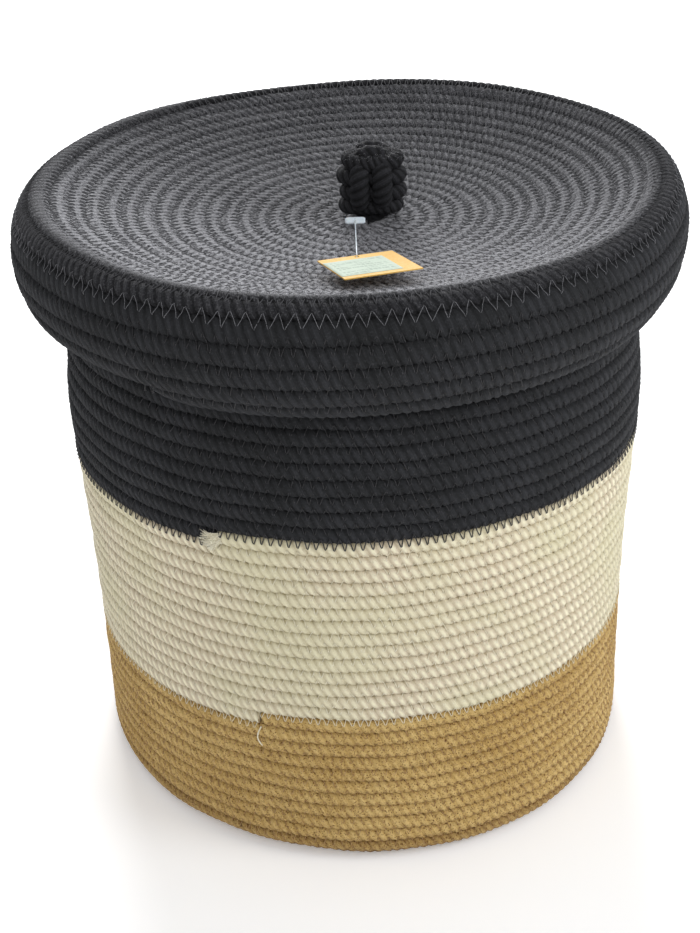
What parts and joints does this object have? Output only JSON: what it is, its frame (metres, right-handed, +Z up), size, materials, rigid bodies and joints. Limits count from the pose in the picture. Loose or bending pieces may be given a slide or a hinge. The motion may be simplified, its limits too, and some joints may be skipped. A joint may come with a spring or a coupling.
{
  "type": "laundry hamper with lid",
  "caption": "Round coiled-rope laundry hamper in three colour bands, with a dished rope lid that overlaps its mouth and has a knotted rope knob.",
  "frame": {"origin": "middle of the underside, on the floor", "axes": "+Z up along the hamper's round axis, -Y towards the front with the swing tag, +X to the front viewer's right"},
  "size_m": [0.3934, 0.3934, 0.388],
  "materials": {
    "black_rope": "dyed cotton rope, matt and slightly fuzzy",
    "cream_rope": "undyed cotton rope, matt",
    "tan_rope": "jute rope, matt and fibrous",
    "black_thread": "polyester sewing thread",
    "cream_thread": "polyester sewing thread",
    "tan_thread": "polyester sewing thread",
    "tag_card": "uncoated card",
    "tag_label": "matt paper sticker with plain bars",
    "clear_plastic": "milky nylon moulding"
  },
  "bodies": {
    "hamper": {"base_rope": "tan_rope", "foot_turn": "tan_rope", "tan_wall_rope": "tan_rope", "cream_wall_rope": "cream_rope", "black_wall_rope": "black_rope", "mouth_turn": "black_rope", "base_thread": "tan_thread", "tan_thread": "tan_thread", "tan_join_thread": "cream_thread", "cream_thread": "cream_thread", "cream_join_thread": "black_thread", "black_thread": "black_thread", "cream_rope_end": "cream_rope", "tan_rope_end": "tan_rope"},
    "lid": {"lid_top_rope": "black_rope", "lid_crest_turn": "black_rope", "lid_skirt_rope": "black_rope", "lid_edge_turn": "black_rope", "lid_top_thread": "black_thread", "lid_skirt_thread": "black_thread", "knob_knot": "black_rope", "knob_neck": "black_rope", "knob_stop_knot": "black_rope"},
    "tag_pin": {"tag_pin": "clear_plastic"},
    "swing_tag": {"tag_pin_foot": "clear_plastic", "tag_card": "tag_card", "tag_label": "tag_label"}
  },
  "joints": [
    {"name": "lid_lift", "type": "slide", "parent": "hamper", "child": "lid", "axis": [0, 0, 1], "range_m": [0, 0.12]},
    {"name": "pin_swing", "type": "hinge", "parent": "lid", "child": "tag_pin", "pos_m": [0.0038, -0.0225, 0.34923], "axis": [-1, 0, 0], "range_deg": [0, 80]},
    {"name": "tag_flap", "type": "hinge", "parent": "tag_pin", "child": "swing_tag", "pos_m": [0.00375, -0.09532, 0.35712], "axis": [-0.9563, -0.2924, 0], "range_deg": [0, 85]}
  ]
}
